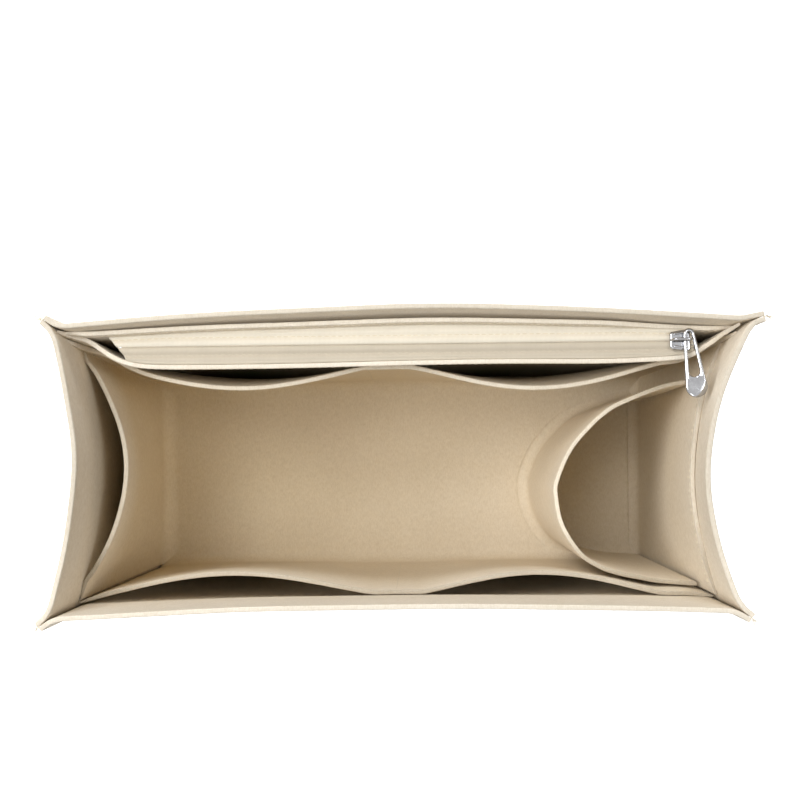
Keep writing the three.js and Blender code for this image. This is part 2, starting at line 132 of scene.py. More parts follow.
# Zipper
ZIP_LINE_Y = RIM_WIDTH / 2 - 7.2
ZIP_LEFT_INSET = 23.5
ZIP_RIGHT_INSET = 17.4
ZIP_LEFT_X = ZIP_LEFT_INSET - RIM_LENGTH / 2
ZIP_RIGHT_X = RIM_LENGTH / 2 - ZIP_RIGHT_INSET
TAPE_HEIGHT = ZIP_TOP - 0.7
TAPE_TURN_DOWN = 6
TEETH_BACK = 2.3
TEETH_HEIGHT = 1.6
SLIDER_X = ZIP_RIGHT_X - 6.6
SLIDER_LENGTH = 9

# Top edge of the zip pocket's front panel, as in the frame's solid
ZIP_MOUTH_DEPTH = 8.4
ZIP_LEFT_SHARES = (
    (0.02, -0.643), (0.25, -0.548), (0.47, -0.333), (0.68, 0.06), (0.894, 0.471), (1.17, 0.818),
    (1.576, 1.025),
)
ZIP_MIDDLE_SHARES = ((-0.6, 1.091), (-0.3, 1.077), (0, 1.003), (0.3, 0.973), (0.6, 1.025))
ZIP_RIGHT_SHARES = (
    (2.281, 0.973), (1.614, 0.914), (1.115, 0.789), (0.718, 0.309), (0.5, 0.024), (0.27, -0.333),
    (0.03, -0.62),
)
# How far the zip pocket's front panels climb into the corner seams, and over what length
ZIP_FRONT_CLIMB = ((8, 10), (8, 8))
ZIP_SLIP_CLIMB = ((21, 13), (19, 10))
ZIP_LEAN_POWER = 2.5

# Top edge of the bottle holder, in half lengths and half widths of the rim
HOLDER_SHARES = (
    (0.93, 0.644), (0.87, 0.615), (0.808, 0.57), (0.743, 0.51), (0.678, 0.436), (0.613, 0.306),
    (0.549, 0.126), (0.506, -0.1), (0.501, -0.218), (0.52, -0.446), (0.577, -0.663),
    (0.641, -0.771), (0.705, -0.824), (0.769, -0.856), (0.833, -0.884), (0.93, -0.908),
)
HOLDER_REACH_SHARE = 0.93
HOLDER_END_GAP = 0.7

# The base is centred on the model's own axes, so its box says where the frame put them
BASE_LOW, BASE_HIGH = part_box("bottom_panel")
SHIFT = np.array([(BASE_LOW.x + BASE_HIGH.x) / 2, (BASE_LOW.y + BASE_HIGH.y) / 2, 0]) / MM


# Shapes of the walls and panels

def mix(a, b, share):
    return a + (b - a) * share


def smooth_step(t):
    t = np.clip(t, 0, 1)
    return t * t * (3 - 2 * t)


def way_along(path):
    """How far each point of a path lies from its start."""
    return np.concatenate([[0], np.cumsum(np.linalg.norm(np.diff(path, axis=0), axis=1))])


def points_at(distance, way, path):
    return np.stack([np.interp(distance, way, column) for column in path.T], -1)


def unit(vectors):
    return vectors / np.maximum(np.linalg.norm(vectors, axis=-1, keepdims=True), 1e-12)


def circle(sides):
    return np.linspace(0, 2 * np.pi, sides, endpoint=False)


def climb_at(z, top):
    return np.clip((z - WALL_BOTTOM) / (top - WALL_BOTTOM), 0, None)


def rise_at(z):
    return climb_at(z, BODY_HEIGHT)


def half_length_at(z):
    return mix(FOOT_LENGTH, RIM_LENGTH, rise_at(z)) / 2


def half_width_at(z):
    return mix(FOOT_WIDTH, RIM_WIDTH, rise_at(z)) / 2


def corner_at(signs, z):
    reach = half_length_at(z) + CORNER_REACH[signs] * rise_at(z)
    return np.stack([reach * signs[0], half_width_at(z) * signs[1]], -1)


def wall_length_at(wall, z):
    return np.linalg.norm(corner_at(wall["end"], z) - corner_at(wall["start"], z), axis=-1)


def wall_point(wall, share, z):
    """Points on a wall's middle surface, with the slow wave that the panels beside it share."""
    share, z = np.broadcast_arrays(np.asarray(share, float), np.asarray(z, float))
    arch = np.sin(np.pi * np.clip(share, 0, 1))
    wave = np.sin(WAVE_TURNS[0] * share + wall["phase"] + WAVE_SLANT * z)
    wave += SECOND_WAVE * np.sin(WAVE_TURNS[1] * share + 2 * wall["phase"])
    bow = (wall["bow"] * rise_at(z) ** BOW_POWER + WAVE * wave * rise_at(z)) * arch
    start, end = corner_at(wall["start"], z), corner_at(wall["end"], z)
    return mix(start, end, share[..., None]) + bow[..., None] * np.array(wall["out"])


def swell_at(wall, share, z):
    """How far a wall's own felt swells out below the pockets' mouths, or stands off at its rim."""
    climb = np.minimum(climb_at(z, SLIP_TOP), 1)
    arch = np.sin(np.pi * np.clip(share, 0, 1))
    stand_off = 0
    if wall is WALLS["back"]:
        stand_off = RIM_STAND_OFF * arch * rise_at(z) ** RIM_STAND_OFF_POWER
    return wall["swell"] * np.sin(np.pi * climb) * arch ** SWELL_ROUND + stand_off


def side_of(step):
    return unit(np.stack([step[..., 1], -step[..., 0]], -1))


def wall_offset(wall, share, z, inward):
    nudge = 1 / 225
    step = wall_point(wall, share + nudge, z) - wall_point(wall, share - nudge, z)
    return wall_point(wall, share, z) - side_of(step) * np.asarray(inward)[..., None]


def gape_at(mouths, place, climb):
    gape = 0
    for start, end, depth, roundness in mouths:
        part = np.clip((place - start) / (end - start), 0, 1)
        gape = gape + depth * np.sin(np.pi * part) ** roundness
    return gape * climb ** MOUTH_POWER


def spline(points, shares):
    """An even Catmull-Rom curve through points, at shares of its way."""
    place = np.clip(shares, 0, 1) * (len(points) - 1)
    i = np.minimum(place.astype(int), len(points) - 2)
    t = (place - i)[..., None]
    before, here = points[np.maximum(i - 1, 0)], points[i]
    after, later = points[i + 1], points[np.minimum(i + 2, len(points) - 1)]
    leave, enter = (after - before) / 2, (later - here) / 2
    cubic = (2 * here - 2 * after + leave + enter) * t**3
    square = (-3 * here + 3 * after - 2 * leave - enter) * t**2
    return cubic + square + leave * t + here


def zip_front_path():
    half = RIM_LENGTH / 2
    places = [(inset * ZIP_LEFT_INSET - half, depth) for inset, depth in ZIP_LEFT_SHARES]
    places += [(place * half, depth) for place, depth in ZIP_MIDDLE_SHARES]
    places += [(half - inset * ZIP_RIGHT_INSET, depth) for inset, depth in ZIP_RIGHT_SHARES]
    return np.array([(x, ZIP_LINE_Y - depth * ZIP_MOUTH_DEPTH) for x, depth in places])


ZIP_FRONT_PATH = zip_front_path()
ZIP_FRONT_FOOT_Y = FOOT_WIDTH / 2 - BESIDE_WALL - POCKET_FELT - CLEARANCE


def zip_front_point(share, z):
    share, z = np.broadcast_arrays(np.asarray(share, float), np.asarray(z, float))
    point = spline(ZIP_FRONT_PATH, share)
    lean = climb_at(z, ZIP_TOP) ** ZIP_LEAN_POWER
    return np.stack([point[..., 0], mix(ZIP_FRONT_FOOT_Y, point[..., 1], lean)], -1)


def zip_front_offset(share, z, outward):
    nudge = 1 / 576
    before = zip_front_point(np.clip(share - nudge, 0, 1), z)
    after = zip_front_point(np.clip(share + nudge, 0, 1), z)
    return zip_front_point(share, z) + side_of(after - before) * np.asarray(outward)[..., None]


def zip_slip_point(share, z):
    place = zip_front_point(share, z)[..., 0] / (RIM_LENGTH / 2)
    gape = gape_at(ZIP_MOUTHS, place, np.minimum(climb_at(z, SLIP_TOP), 1))
    return zip_front_offset(share, z, POCKET_FELT + CLEARANCE + gape)


def holder_limit_x(y, z):
    share = (y + half_width_at(z)) / (2 * half_width_at(z))
    gape = gape_at(RIGHT_MOUTHS, 2 * share - 1, climb_at(z, FLAT_SLIP_TOP))
    face = wall_offset(WALLS["right"], share, z, BESIDE_WALL + gape)[..., 0]
    return face - POCKET_FELT / 2 - HOLDER_END_GAP


def holder_row(shares, z):
    climb = climb_at(z, HOLDER_TOP)
    table = np.array(HOLDER_SHARES)
    y = table[:, 1] * mix(FOOT_WIDTH, RIM_WIDTH, climb) / 2
    limit = holder_limit_x(y, z)
    reach = (limit - table[:, 0] * RIM_LENGTH / 2) * mix(HOLDER_REACH_SHARE, 1, climb)
    reach[[0, -1]] = 0
    path = np.stack([limit - reach, y], -1)
    dense = spline(path, np.linspace(0, 1, 600))
    way = way_along(dense)
    return points_at(shares * way[-1], way, dense)


def holder_point(share, z):
    return np.stack([holder_row(row, height) for row, height in zip(share, z[:, 0])])


# Outer walls: rows from one corner flange to the other, smoothed at the bends

def seam_point(signs, other_signs, z, reach):
    diagonal = np.array(CORNER_WAY[signs]) / np.linalg.norm(CORNER_WAY[signs])
    along = np.array(other_signs, float) - signs
    side = along - diagonal * along.dot(diagonal)
    side /= np.linalg.norm(side)
    return corner_at(signs, z) + diagonal * reach + side * (WALL_FELT + CLEARANCE) / 2


SMOOTH_STEP = 0.8
SMOOTH_PASSES = 5


def smooth_path(path, shares):
    way = way_along(path)
    even = np.linspace(0, way[-1], int(way[-1] / SMOOTH_STEP))
    dense = points_at(even, way, path)
    for _ in range(SMOOTH_PASSES):
        dense[1:-1] = (dense[:-2] + 2 * dense[1:-1] + dense[2:]) / 4
    return points_at(shares * way[-1], even, dense)


def wall_row(wall, z, seam_share, height_share, shares):
    length = wall_length_at(wall, z)
    start, end = wall["start"], wall["end"]
    bend = CORNER_BEND / length
    share = np.linspace(bend, 1 - bend, 140)
    from_corner = np.minimum(share, 1 - share) * length - CORNER_BEND
    taper = smooth_step(from_corner / FOOT_TAPER)
    middle = wall_offset(wall, share, z, -FOOT_SEAM * seam_share * taper - swell_at(wall, share, z))
    lift = taper ** FOOT_LIFT_POWER * (1 - height_share) * WALL_FELT / 2
    row = [(*seam_point(start, end, z, reach), z) for reach in (CORNER_SEAM, CORNER_SEAM_ROOT)]
    row += [(x, y, z + up) for (x, y), up in zip(middle, lift)]
    row += [(*seam_point(end, start, z, reach), z) for reach in (CORNER_SEAM_ROOT, CORNER_SEAM)]
    return smooth_path(np.array(row), shares)


def wall_surface(wall):
    def surface(shares, climbs):
        rows = []
        for climb in climbs:
            if climb < FOOT_ROWS:
                seam, height = spline(np.array(FOOT_SHARES, float), np.array(climb / FOOT_ROWS))
                z = WALL_BOTTOM + height * FOOT_BEND_HEIGHT
                rows.append(wall_row(wall, z, seam, height, shares))
            else:
                up = (climb - FOOT_ROWS) / (1 - FOOT_ROWS)
                z = mix(WALL_BOTTOM + FOOT_BEND_HEIGHT, BODY_HEIGHT, up)
                rows.append(wall_row(wall, z, 0, 1, shares))
        return np.stack(rows)
    return surface


FOOT_SHARE = 0.12
FOOT_SINK = 0.04
PANEL_LENGTH = 290


def panel_surface(point_at, top, foot=0, side=1, ends=None):
    """Rows up a panel. A panel with a foot curls out at the bottom, and ends flush in the base.

    ends gives how far its top climbs at its left and right end, and over what length."""
    def surface(shares, climbs):
        bottom = BASE_FELT + foot if foot else WALL_BOTTOM
        z = mix(bottom, top, climbs)
        offset = np.zeros_like(z)
        if foot:
            turn = np.clip(1 - climbs / FOOT_SHARE, 0, 1) * np.pi / 2
            reach = foot + POCKET_FELT / 2
            z = mix(bottom, top, np.clip((climbs - FOOT_SHARE) / (1 - FOOT_SHARE), 0, 1))
            z = z - (reach + FOOT_SINK) * np.sin(turn)
            offset = reach * (1 - np.cos(turn))
        share, height = np.meshgrid(shares, z)
        if ends:
            for (climb, reach), way in zip(ends, (share, 1 - share)):
                near = np.exp(-(way * PANEL_LENGTH / reach) ** 2)
                height = height + climb * near * climbs[:, None] ** 2
        points = point_at(share, np.maximum(height, WALL_BOTTOM))
        tangent = np.gradient(points, axis=1)
        points = points + side_of(tangent) * side * offset[:, None, None]
        return np.concatenate([points, height[..., None]], -1)
    return surface


def zip_back_hug(share, z):
    return ZIP_BACK_HUG * np.sin(np.pi * np.clip(share, 0, 1)) * climb_at(z, ZIP_TOP) ** TOP_POWER


def slip_surface(name, span, top, mouths, foot=0, hug=0, crown=0):
    """A panel beside a wall: its ends run into the corner seams, held against the wall there."""
    wall = WALLS[name]

    def point_at(share, z):
        at = mix(*span, share)
        near = np.minimum(share, 1 - share) * wall_length_at(wall, z)
        end_hug = (END_HUG - hug) * np.exp(-(near / END_HUG_REACH) ** 2)
        gape = -zip_back_hug(at, z) if crown else gape_at(mouths, 2 * at - 1, climb_at(z, top))
        return wall_offset(wall, at, z, BESIDE_WALL + gape - hug - end_hug)

    flat = panel_surface(point_at, top, foot, -1)

    def surface(shares, climbs):
        grid = flat(shares, climbs)
        inward = smooth_step((shares - CROWN_START) / CROWN_REACH)
        grid[..., 2] += crown * inward[None, :] * (climbs ** TOP_POWER)[:, None]
        return grid
    return surface if crown else flat


# Materials

class Shading:
    """The nodes of a material or world around its shader, whose own sockets take the values."""

    def __init__(self, owner, shader="Principled BSDF", **values):
        owner.use_nodes = True
        self.owner, self.nodes = owner, owner.node_tree.nodes
        self.link = owner.node_tree.links.new
        self.shader = self.nodes[shader]
        set_sockets(self.shader, values)

    def add(self, kind, **values):
        node = self.nodes.new(kind)
        for key, value in values.items():
            setattr(node, key, value)
        return node

    def place(self):
        return self.add("ShaderNodeTexCoord").outputs["Object"]

    def attribute(self, name):
        return self.add("ShaderNodeAttribute", attribute_name=name).outputs["Fac"]

    def noise(self, place, scale, detail=2, roughness=0.5, stretch=(1, 1, 1)):
        mapping, texture = self.add("ShaderNodeMapping"), self.add("ShaderNodeTexNoise")
        set_sockets(mapping, {"Scale": stretch})
        set_sockets(texture, {"Scale": scale, "Detail": detail, "Roughness": roughness})
        self.link(place, mapping.inputs["Vector"])
        self.link(mapping.outputs["Vector"], texture.inputs["Vector"])
        return texture.outputs["Fac"]

    def ramp(self, source, low, low_color, high, high_color):
        node = self.add("ShaderNodeValToRGB")
        stops = ((low, low_color), (high, high_color))
        for element, (position, color) in zip(node.color_ramp.elements, stops):
            element.position, element.color = position, (*color, 1)
        self.link(source, node.inputs["Fac"])
        return node.outputs["Color"]

    def blend(self, factor, a, b, blend="MULTIPLY"):
        node = self.add("ShaderNodeMix", data_type="RGBA", blend_type=blend)
        set_sockets(node, {"Factor": factor})
        self.link(a, node.inputs[6])
        self.link(b, node.inputs[7])
        return node.outputs[2]

    def bump(self, *layers):
        """Bumps on top of each other, each of a source, a strength and a depth in metres."""
        normal = None
        for height, strength, distance in layers:
            node = self.add("ShaderNodeBump")
            set_sockets(node, {"Strength": strength, "Distance": distance})
            self.link(height, node.inputs["Height"])
            if normal is not None:
                self.link(normal, node.inputs["Normal"])
            normal = node.outputs["Normal"]
        self.feed("Normal", normal)

    def map_range(self, source, **limits):
        node = self.add("ShaderNodeMapRange")
        set_sockets(node, limits)
        self.link(source, node.inputs["Value"])
        return node.outputs["Result"]

    def math(self, operation, *sources):
        node = self.add("ShaderNodeMath", operation=operation)
        for source, socket in zip(sources, node.inputs):
            self.link(source, socket)
        return node.outputs[0]

    def seen_rays(self):
        """1 for rays from the camera and from metal or glass, and 0 for the light on things."""
        rays = self.add("ShaderNodeLightPath").outputs
        seen = self.math("MAXIMUM", rays["Is Camera Ray"], rays["Is Glossy Ray"])
        return self.math("MAXIMUM", seen, rays["Is Transmission Ray"])

    def feed(self, socket, source):
        self.link(source, self.shader.inputs[socket])


def set_sockets(node, values):
    for key, value in values.items():
        node.inputs[key.replace("_", " ")].default_value = value


def material_nodes(name, **values):
    return Shading(bpy.data.materials.new(name), **values)


WHITE = (1, 1, 1)
# The felt low down, darker as painted shade, and at the rims, paler as painted light
FELT_PAINTED_SHADE = (0.72, 0.575, 0.352)
FELT_PAINTED_LIGHT = (0.82, 0.735, 0.61)
FELT_FLECK_DARK = (0.62, 0.50, 0.34)
FELT_FLECK_PALE = (0.88, 0.80, 0.67)
FELT_PATCH = (0.95, 0.94, 0.92)
FELT_MOTTLE = (0.93, 0.92, 0.9)
FLECK_SHARE = 0.18
# The darkening of the cut edges: partly the felt's own darker edge, partly painted shade
CUT_SHADE = (0.56, 0.545, 0.52)


def make_felt():
    """Pressed felt: matted fibres and slow patches of tone. It is made deeper low down by painted
    shade and paler at the rims by painted light, and its cut edges are darkened partly by painted
    shade.
    """
    felt = material_nodes(
        "felt", Roughness=0.96, Specular_IOR_Level=0.1, Sheen_Weight=0.12, Sheen_Roughness=0.6,
        Sheen_Tint=(*FELT_FLECK_PALE, 1))
    place = felt.place()
    patches = felt.noise(place, 22, 3, 0.6)
    fibres_a = felt.noise(place, 1500, 3, 0.65, (1, 0.32, 0.7))
    fibres_b = felt.noise(place, 1300, 3, 0.65, (0.35, 1, 1.1))
    grain = felt.noise(place, 620, 5, 0.7)
    heather = felt.noise(place, 330, 4, 0.75)
    # Painted shade low down and painted light at the rims and on the holder's side, from the
    # points' tone values
    tone = felt.ramp(felt.attribute("tone"), 0, FELT_PAINTED_SHADE, 1, FELT_PAINTED_LIGHT)
    tone = felt.blend(1, tone, felt.ramp(patches, 0.3, FELT_PATCH, 0.75, WHITE))
    tone = felt.blend(1, tone, felt.ramp(heather, 0.36, FELT_MOTTLE, 0.62, WHITE))
    fleck = felt.ramp(fibres_a, 0.38, FELT_FLECK_DARK, 0.58, FELT_FLECK_PALE)
    face = felt.blend(FLECK_SHARE, tone, fleck, "MIX")
    # Cut edges darkened, partly as their own darker felt and partly as painted shade that changes
    # by place
    shade = felt.ramp(felt.attribute("cut"), 0, WHITE, 1, CUT_SHADE)
    felt.feed("Base Color", felt.blend(1, face, shade))
    felt.bump((grain, 0.35, 0.00025), (fibres_a, 0.3, 0.00012), (fibres_b, 0.3, 0.00012))
    return felt.owner


def darker(color, share):
    return tuple(mix(value, 0, share) for value in color)


# The tape's colour twice: paler for the back tape as painted light, darker for the front tape as
# painted shade
TAPE_LIT_COLOR = (0.77, 0.695, 0.565)
TAPE_SHADED_COLOR = (0.56, 0.485, 0.375)
WEAVE_SHADE = (0.86, 0.84, 0.8)
# Direction of the tape's ribs and weft threads, and their pitch in metres
WEAVE = (("X", 0.00055), ("Y", 0.0007))
WAVE_SCALE_TIMES_PITCH = 0.314
NICKEL_DARK, NICKEL_PALE = (0.38, 0.38, 0.39), (0.50, 0.50, 0.51)
SMOOTHEST, ROUGHEST = (0.07, 0.07, 0.07), (0.17, 0.17, 0.17)


def make_tape(name, tape_color):
    """Woven tape: fine ribs along it crossed by weft threads."""
    tape = material_nodes(name, Roughness=0.72, Specular_IOR_Level=0.35, Sheen_Weight=0.15)
    place = tape.place()
    weaves = []
    for direction, pitch in WEAVE:
        wave = tape.add("ShaderNodeTexWave", wave_type="BANDS", bands_direction=direction)
        set_sockets(wave, {"Scale": WAVE_SCALE_TIMES_PITCH / pitch, "Distortion": 0.6, "Detail": 1})
        tape.link(place, wave.inputs["Vector"])
        weaves.append(wave.outputs["Fac"])
    tone = tape.ramp(tape.noise(place, 90, 3, 0.6), 0.3, darker(tape_color, 0.05), 0.7, tape_color)
    weave = tape.ramp(weaves[0], 0.2, WEAVE_SHADE, 0.8, WHITE)
    tape.feed("Base Color", tape.blend(0.6, tone, weave))
    tape.bump((weaves[0], 0.35, 0.00008), (weaves[1], 0.3, 0.00008))
    return tape.owner


def make_plain(name, color, roughness, bump_scale, specular=0.4):
    """Threads and nylon: one colour with slight tone changes and a fine grain."""
    plain = material_nodes(name, Roughness=roughness, Specular_IOR_Level=specular)
    place = plain.place()
    tone = plain.ramp(plain.noise(place, 400), 0.3, darker(color, 0.12), 0.7, color)
    plain.feed("Base Color", tone)
    plain.bump((plain.noise(place, bump_scale), 0.3, 0.00006))
    return plain.owner


def make_nickel():
    """Polished nickel plate with faint rubbed patches and hair scratches."""
    nickel = material_nodes("nickel", Metallic=1)
    place = nickel.place()
    rubbed = nickel.noise(place, 260, 4, 0.6)
    scratches = nickel.noise(place, 900, stretch=(1, 0.05, 1))
    nickel.feed("Base Color", nickel.ramp(rubbed, 0.3, NICKEL_DARK, 0.7, NICKEL_PALE))
    nickel.feed("Roughness", nickel.ramp(rubbed, 0.3, SMOOTHEST, 0.75, ROUGHEST))
    nickel.bump((scratches, 0.06, 0.00004), (rubbed, 0.05, 0.0001))
    return nickel.owner


FELT = make_felt()
# Lit and shaded copies of the tape: painted light on the back tape, painted shade on the front tape
TAPE_LIT = make_tape("zipper_tape", TAPE_LIT_COLOR)
TAPE_SHADED = make_tape("zipper_tape_front", TAPE_SHADED_COLOR)
THREAD = make_plain("sewing_thread", (0.70, 0.60, 0.44), 0.6, 4000)
# A darker copy of the sewing thread, painted shade, for the seam on the front tape
THREAD_SHADED = make_plain("zipper_thread_shaded", (0.56, 0.485, 0.37), 0.6, 4000)
NYLON = make_plain("zipper_coil", (0.78, 0.69, 0.54), 0.42, 2500, 0.5)
NICKEL = make_nickel()


# Meshes

def add_object(name, data):
    thing = bpy.data.objects.new(name, data)
    bpy.context.scene.collection.objects.link(thing)
    return thing


def add_mesh(name, points, faces, material, body, slot, node=None, values=()):
    """A piece on a body. It stands for the node, if one is given, and values go on its points."""
    mesh = bpy.data.meshes.new(name)
    mesh.from_pydata(((np.asarray(points) + SHIFT) * MM).tolist(), [], faces)
    mesh.materials.append(material)
    mesh.polygons.foreach_set("use_smooth", [True] * len(mesh.polygons))
    for attribute_name, numbers in values:
        attribute = mesh.attributes.new(attribute_name, "FLOAT", "POINT")
        attribute.data.foreach_set("value", np.asarray(numbers, np.float32).ravel())
    mesh.update()
    piece = add_object(name, mesh)
    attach(piece, body)
    if node:
        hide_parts(node)
    return piece


# Distances from a rounded edge at which a sheet has rows, in shares of the rounding
EDGE_STEPS = np.array([0, 0.06, 0.2, 0.45, 0.75, 1.1])


def spread(length, step, rounding):
    """Shares from 0 to 1, with close ones where the edges are rounded."""
    close = EDGE_STEPS * rounding / length
    count = max(int(length / step), 4)
    inner = np.linspace(close[-1], 1 - close[-1], count)[1:-1]
    return np.concatenate([close, inner, 1 - close[::-1]])


def rounded(distance, rounding):
    """How full the thickness is at a distance from a rounded edge."""
    return np.sqrt(np.clip(1 - (1 - np.clip(distance / rounding, 0, 1)) ** 2, 0, 1))


def grid_normals(grid):
    return unit(np.cross(np.gradient(grid, axis=1), np.gradient(grid, axis=0)))


def sheet_mesh(grid, half):
    """A closed sheet: the grid thickened by half on each side, and its four edges closed."""
    push = grid_normals(grid) * half[..., None]
    points = np.stack([grid + push, grid - push]).reshape(-1, 3)
    size = half.size
    index = np.arange(size).reshape(half.shape)
    front = np.stack([index[:-1, :-1], index[:-1, 1:], index[1:, 1:], index[1:, :-1]], -1)
    front = front.reshape(-1, 4)
    loop = np.concatenate([index[0, :-1], index[:-1, -1], index[-1, :0:-1], index[:0:-1, 0]])
    after = np.roll(loop, -1)
    rim = np.stack([loop, loop + size, after + size, after], -1)
    return points, np.concatenate([front, front[:, ::-1] + size, rim]).tolist()


def surface_noise(grid, scale, seed):
    flat = grid.reshape(-1, 3) * scale
    values = [noise.noise(Vector((x, y, z + seed))) for x, y, z in flat]
    return np.array(values).reshape(grid.shape[:2])


# Where the felt's painted light and shade and the darkening of its cut edges, with its painted
# shade, change: start and length of the change
TONE_RIGHT, TONE_FRONT, TONE_UP = (-130, 190), (0, -60), (90, 55)
TONE_LOWEST, TONE_MORE_RIGHT, TONE_MORE_FRONT = 0.04, 0.5, 0.12
CUT_LOW, CUT_FRONT, CUT_RIGHT = (152, -16), (-28, -16), (108, 15)
CUT_BACK, CUT_ABOVE, CUT_BELOW = (30, 20), (140, 6), (157, -4)
CUT_RIM, CUT_RIM_BACK = (154, 4), (-45, 35)
CUT_ALL, CUT_MORE_FRONT, CUT_MORE_RIGHT, CUT_LESS_LOW, CUT_MORE_RIM, CUT_LESS_BACK = (
    0.3, 0.85, 0.45, 0.2, 0.3, 0.7)


def change(value, start, length):
    return np.clip((value - start) / length, 0, 1)


def felt_painted_light_and_shade(points):
    """From 0, the deeper tone of painted shade low down, to 1, the paler one of painted light at
    the rims. The holder's side is painted paler too, and a little the front.
    """
    x, y, z = np.moveaxis(points, -1, 0)
    low = TONE_MORE_RIGHT * change(x, *TONE_RIGHT) + TONE_MORE_FRONT * change(y, *TONE_FRONT)
    low += TONE_LOWEST
    return low + (1 - low) * change(z, *TONE_UP)


def painted_cut_shade(points):
    """How much a cut edge darkens, partly as the cut felt's own darker edge and partly as painted
    shade: most on the front pockets, and hardly on the zip pocket. The change by place is painted
    shade.
    """
    x, y, z = np.moveaxis(points, -1, 0)
    front = change(y, *CUT_FRONT)
    right = change(x, *CUT_RIGHT) * (1 - front)
    low = (CUT_MORE_FRONT * front + CUT_MORE_RIGHT * right - CUT_LESS_LOW) * change(z, *CUT_LOW)
    back = change(y, *CUT_BACK) * change(z, *CUT_ABOVE) * change(z, *CUT_BELOW)
    rim = change(z, *CUT_RIM) * change(y, *CUT_RIM_BACK)
    return (CUT_ALL + low + CUT_MORE_RIM * rim) * (1 - CUT_LESS_BACK * back)


# How round the felt's edges are, how uneven its thickness and upper edge are, and how it is drawn
# in along a seam and at its ends
EDGE_ROUNDING = 0.24
ROUGHNESS, ROUGH_SCALE = 0.05, 0.35
EDGE_WAVE, EDGE_WAVE_REACH, EDGE_WAVE_SCALE = 0.28, 9, 0.06
SEAM_DEPTH, SEAM_REACH = 0.22, 1.1
PINCH_REACH = 6

SURFACES = {}


def felt_panel(
        name, node, surface, length, height, thickness=POCKET_FELT, pinch=0, foot=False, seam=None):
    """A felt panel with softly rounded, slightly uneven cut edges, drawn in along its seams.

    Its rows and columns are spaced for a panel of that length and height."""
    seed = 11 * len(SURFACES)
    SURFACES[name] = surface
    rounding = thickness * EDGE_ROUNDING
    shares, climbs = spread(length, 2.0, rounding), spread(height, 2.4, rounding)
    grid = surface(shares, climbs)
    share, climb = np.meshgrid(shares, climbs)
    ends, from_top = np.minimum(share, 1 - share) * length, (1 - climb) * height
    up = from_top if foot else np.minimum(climb, 1 - climb) * height
    full = rounded(np.minimum(ends, up), rounding)
    half = thickness / 2 - rounding * (1 - full)
    if seam:
        near = np.abs(share - seam) * length
        half = half - SEAM_DEPTH * np.exp(-(near / SEAM_REACH) ** 2) * (full > 0.5)
    half = half * (1 - pinch * np.exp(-(ends / PINCH_REACH) ** 2))
    half = half * (1 + ROUGHNESS * surface_noise(grid, ROUGH_SCALE, seed))
    edge = np.exp(-(from_top / EDGE_WAVE_REACH) ** 2)
    grid[..., 2] += EDGE_WAVE * edge * surface_noise(grid, EDGE_WAVE_SCALE, seed + 7)
    # Darkening near the cut edges, partly painted shade that changes by place
    cut = np.exp(-(np.minimum(ends, from_top) / (0.55 * rounding + 0.12)) ** 2) * painted_cut_shade(grid)
    points, faces = sheet_mesh(grid, half)
    # On each point: the cut edges' darkening with its painted shade, and the tone of painted light
    # and shade
    values = (("cut", np.tile(cut.ravel(), 2)), ("tone", np.tile(felt_painted_light_and_shade(grid).ravel(), 2)))
    piece = add_mesh(name + "_felt", points, faces, FELT, "organizer", "felt", node, values)


BASE_ROUNDING, BASE_CUT = 0.9, 0.5


def make_base():
    """The felt base: rings around its rounded outline, on its upper side and on its under side."""
    half = np.array([FOOT_LENGTH, FOOT_WIDTH]) / 2 + FOOT_SEAM
    corners = []
    for k, signs in enumerate(((1, 1), (-1, 1), (-1, -1), (1, -1))):
        angles = k * np.pi / 2 + np.linspace(0, np.pi / 2, 9)
        round_it = np.stack([np.cos(angles), np.sin(angles)], -1) * BASE_CORNER_RADIUS
        corners.append(signs * (half - BASE_CORNER_RADIUS) + round_it)
    path = []
    for corner, following in zip(corners, corners[1:] + corners[:1]):
        a, b = corner[-1], following[0]
        count = int(np.linalg.norm(b - a) / 3)
        path += [*corner, *(mix(a, b, s) for s in np.linspace(0, 1, count + 2)[1:-1])]
    path = np.array(path)
    insets = [*(BASE_ROUNDING * EDGE_STEPS), *np.linspace(3, half[1] - 0.5, 26)]
    size, count = len(path), len(insets)
    points, cut = [], []
    for side in (1, -1):
        for inset in insets:
            full = rounded(np.array(inset), BASE_ROUNDING)
            z = BASE_FELT / 2 + side * (BASE_FELT / 2 - BASE_ROUNDING * (1 - full))
            points.append(np.column_stack([path * ((half - inset) / half), np.full(size, z)]))
            # Darkening near the base's cut edge, partly painted shade
            cut.append(np.full(size, math.exp(-(inset / BASE_CUT) ** 2)))
    around = np.arange(size)
    faces = []
    for side in (0, 1):
        for i in range(count - 1):
            a = (side * count + i) * size + around
            quad = np.stack([a, np.roll(a, -1), np.roll(a, -1) + size, a + size], -1)
            faces += (quad[:, ::-1] if side else quad).tolist()
        inner = ((side + 1) * count - 1) * size + around
        faces.append((inner[::-1] if side else inner).tolist())
    under = around + count * size
    faces += np.stack([around, under, np.roll(under, -1), np.roll(around, -1)], -1).tolist()
    points = np.concatenate(points)
    # On each point: the cut edge's darkening with its painted shade, and the tone of painted light
    # and shade
    values = (("cut", np.concatenate(cut) * painted_cut_shade(points)), ("tone", felt_painted_light_and_shade(points)))
    piece = add_mesh("base_felt", points, faces, FELT, "organizer", "felt", "bottom_panel", values)


make_base()

# Height at which a pocket's foot starts to curl out to the base
WIDE_FOOT, FLAT_FOOT, HOLDER_FOOT = 9, 6, 7
# How much nearer the wall the flat pocket lies, and where two pockets are sewn at their middle
FLAT_HUG = 0.65
FRONT_SEAM, ZIP_SEAM = 0.5, 0.48

